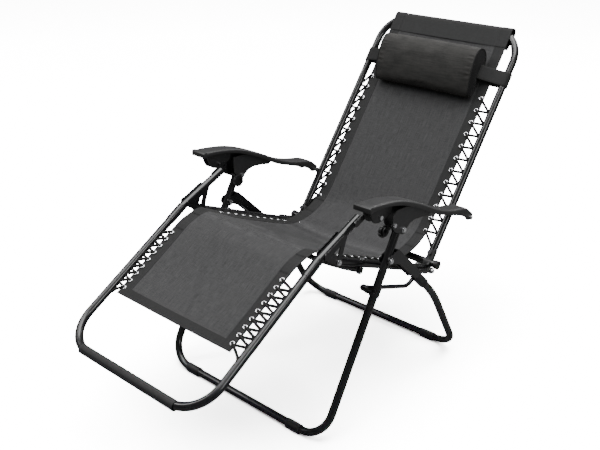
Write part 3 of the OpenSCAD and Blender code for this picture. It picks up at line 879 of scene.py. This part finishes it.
# ---------- armrests ----------
PIN = pivot("armrest_fold")
ARM_LO, ARM_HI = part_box("armrest_left")
ARM_X, ARM_HALF = (ARM_LO.x + ARM_HI.x) / 2, (ARM_HI.x - ARM_LO.x) / 2
# [y, z] in millimetres from the pivot: top line and lower edge of the skirt, front to rear
TOP = [(-152, 93), (-149, 105), (-128, 106.5), (-106, 104), (-73, 99.5), (-42, 94), (-11, 85.5), (22, 74),
       (56, 59.5), (98, 40), (130, 23), (166, 6), (199, -7), (236, -18), (270, -25), (304, -33), (322, -43),
       (336, -54), (341, -61)]
LOW = [(-150, 92), (-140, 93), (-106, 92), (-72, 88), (-42, 81), (-10, 72), (23, 59), (65, 40), (109, 17),
       (154, -5), (201, -22), (248, -38), (288, -51), (302, -62), (314, -73), (326, -75.5), (336, -72),
       (340.5, -64)]
# plates under the pad that carry the leg rest bolt, and the front lip of the pad
LOBE = [(-133, 91), (-127, 76), (-119, 58), (-108, 49), (-90, 46), (-74, 49), (-58, 54), (-44, 60), (-40, 70),
        (-38, 90)]
LIP = [(-152, 91.5), (-152.5, 104), (-149, 107), (-141, 107), (-141, 92)]
ARM_WALL, ARM_ROUND = 3 * MM, 8 * MM


def arm_curve(pts, n):
    """n evenly spaced points on the smooth line through pts."""
    curve = spline([PIN + np.array(p) * MM for p in pts], 0.002)
    s = chain_length(curve)
    at = np.linspace(0, 1, n) * s[-1]
    return np.stack([np.interp(at, s, curve[:, k]) for k in (0, 1)], 1)


def arm_section(top, low, inset):
    """Section from skirt to skirt with a rounded top, drawn in by inset: pairs of x and side-view point."""
    w = ARM_HALF - inset
    d = low - top
    depth = np.linalg.norm(d)
    u = d / max(depth, 1e-6)
    r = min(ARM_ROUND, depth * 0.45)
    corner = []
    for k in range(7):
        a = math.pi / 2 * k / 6
        corner.append((w - r + r * math.sin(a), inset + r - r * math.cos(a)))
    skirt = [(w, depth)] if depth > r else []
    crown = [(w * f, inset - 0.8 * MM * (1 - f * f)) for f in (-0.55, -0.2, 0.2, 0.55)]
    half = corner + skirt
    return [(x, top + u * max(z, 0)) for x, z in [(-x, z) for x, z in reversed(half)] + crown + half]


def plate(outline, x0, x1, side, origin):
    """Flat plate with its side-view outline given in millimetres from origin."""
    loop = [origin + np.array(p) * MM for p in outline]
    n = len(loop)
    verts = [sv(p, side * x) for x in (x0, x1) for p in loop]
    faces = [tuple(range(n)), tuple(reversed(range(n, 2 * n)))]
    faces += [(k, (k + 1) % n, n + (k + 1) % n, n + k) for k in range(n)]
    return verts, faces


def armrest(side):
    rows = 90
    tops, lows = arm_curve(TOP, rows), arm_curve(LOW, rows)
    verts = []
    for t, lo in zip(tops, lows):
        loop = arm_section(t, lo, 0.0) + arm_section(t, lo, ARM_WALL)[::-1]
        verts += [sv(p, side * (ARM_X + x)) for x, p in loop]
    n = len(loop)
    faces = ring_faces(rows, n)
    faces.append(tuple(range(n)))
    faces.append(tuple(reversed(range((rows - 1) * n, rows * n))))
    parts = [(verts, faces)]
    smooth_lobe = [tuple(p) for p in spline(LOBE, 4.0)]
    outer, inner = ARM_X + ARM_HALF, ARM_X - ARM_HALF
    for x0, x1 in ((outer - 20 * MM, outer - 16 * MM), (inner + 11 * MM, inner + 15 * MM)):
        parts.append(plate(smooth_lobe, x0, x1, side, PIN))
    parts.append(plate(LIP, inner - 0.6 * MM, outer + 0.6 * MM, side, PIN))
    o = fix_normals(add_mesh("arm_shell_" + ("left" if side > 0 else "right"), *merge(parts), ARM))
    soften(o, "edge", 0.0012, 40)
    return o


for side, node in ((1, "armrest_left"), (-1, "armrest_right")):
    arm = armrest(side)
    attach(arm, "armrests")
    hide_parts(node)

# ---------- soften the hard edges of the carried parts ----------
for o in NODES.values():
    if not o.hide_render:
        soften(o, "soft_edges", 0.0006, 40)

# ---------- floor, light and camera ----------
# how bright the floor and the sky look to the camera, and how much light and bounce they give the chair
FLOOR_BRIGHT, SKY_BRIGHT = 9.0, 8.0
FLOOR_GREY, SKY_LIGHT = 0.14, 0.2
FADE_FROM, FADE_TO = 1.6, 5.0                     # distance over which the floor turns into the sky


def seen_directly(tree):
    """1 where the camera looks straight at the surface, 0 for reflections, bounces and looks through the cloth."""
    path = tree.nodes.new("ShaderNodeLightPath")
    first = tree.nodes.new("ShaderNodeMath")
    first.operation = "LESS_THAN"
    first.inputs[1].default_value = 0.5
    tree.links.new(path.outputs["Transparent Depth"], first.inputs[0])
    both = tree.nodes.new("ShaderNodeMath")
    both.operation = "MULTIPLY"
    tree.links.new(path.outputs["Is Camera Ray"], both.inputs[0])
    tree.links.new(first.outputs[0], both.inputs[1])
    return both.outputs[0]


floor_m = Nodes("floor")
plain, bright = floor_m.n("BsdfDiffuse"), floor_m.n("BsdfDiffuse")
plain.inputs[0].default_value = (FLOOR_GREY, FLOOR_GREY, FLOOR_GREY, 1)
bright.inputs[0].default_value = (FLOOR_BRIGHT, FLOOR_BRIGHT, FLOOR_BRIGHT, 1)
floor_mix = floor_m.n("MixShader")
floor_m.link(seen_directly(floor_m.t), floor_mix.inputs[0])
floor_m.link(plain.outputs[0], floor_mix.inputs[1])
away = floor_m.n("VectorMath", operation="LENGTH")
floor_m.link(floor_m.coords(), away.inputs[0])
far = floor_m.n("MapRange")
for key, value in (("From Min", FADE_FROM), ("From Max", FADE_TO), ("To Min", 0.0), ("To Max", SKY_BRIGHT)):
    far.inputs[key].default_value = value
floor_m.link(away.outputs["Value"], far.inputs["Value"])
glow = floor_m.n("Emission")
floor_m.link(far.outputs[0], glow.inputs["Strength"])
total = floor_m.n("AddShader")
floor_m.link(bright.outputs[0], total.inputs[0])
floor_m.link(glow.outputs[0], total.inputs[1])
floor_m.link(total.outputs[0], floor_mix.inputs[2])
floor_m.m.cycles.emission_sampling = "NONE"
floor_m.link(floor_mix.outputs[0], floor_m.out.inputs["Surface"])
WIDE = 30
floor = add_mesh("floor", [(-WIDE, -WIDE, 0), (WIDE, -WIDE, 0), (WIDE, WIDE, 0), (-WIDE, WIDE, 0)], [(0, 1, 2, 3)],
                 floor_m.m, smooth=False)

world = bpy.data.worlds.new("studio")
bpy.context.scene.world = world
world.use_nodes = True
sky = world.node_tree.nodes["Background"]
sky.inputs[0].default_value = (1, 1, 1, 1)
strength = world.node_tree.nodes.new("ShaderNodeMapRange")
strength.inputs["To Min"].default_value = SKY_LIGHT
strength.inputs["To Max"].default_value = SKY_BRIGHT
world.node_tree.links.new(seen_directly(world.node_tree), strength.inputs["Value"])
world.node_tree.links.new(strength.outputs[0], sky.inputs[1])


def area(name, at, aim, size, power):
    data = bpy.data.lights.new(name, "AREA")
    data.shape = "RECTANGLE"
    data.size, data.size_y = size
    data.energy = power
    o = bpy.data.objects.new(name, data)
    o.location = at
    o.rotation_euler = (Vector(aim) - Vector(at)).to_track_quat("-Z", "Y").to_euler()
    bpy.context.scene.collection.objects.link(o)


area("overhead", (0.1, 0.1, 5.2), (0, 0, 0.3), (4.6, 4.6), 520)
area("key", (-2.6, -2.0, 3.6), (0, 0, 0.5), (0.9, 2.0), 70)
area("fill", (3.6, -0.8, 2.6), (0, 0, 0.5), (0.6, 2.2), 50)
area("rim", (0.4, 3.2, 2.6), (0, 0.1, 0.6), (2.4, 0.6), 50)

CAM_AT = (1.445, -1.6649, 1.427)
CAM_TURN, CAM_RISE, CAM_ROLL = 41.84, 24.0, 0.25     # degrees round, up and about the view
cam_data = bpy.data.cameras.new("camera")
cam_data.sensor_width = 36
cam_data.lens = 50.61
cam = bpy.data.objects.new("camera", cam_data)
az, el, roll = math.radians(CAM_TURN), math.radians(CAM_RISE), math.radians(CAM_ROLL)
right = Vector((math.cos(az), math.sin(az), 0))
back = Vector((math.sin(az) * math.cos(el), -math.cos(az) * math.cos(el), math.sin(el)))
up = back.cross(right)
right, up = right * math.cos(roll) + up * math.sin(roll), up * math.cos(roll) - right * math.sin(roll)
rot = Matrix((right, up, back)).transposed().to_4x4()
cam.matrix_world = Matrix.Translation(Vector(CAM_AT)) @ rot
bpy.context.scene.collection.objects.link(cam)
bpy.context.scene.camera = cam
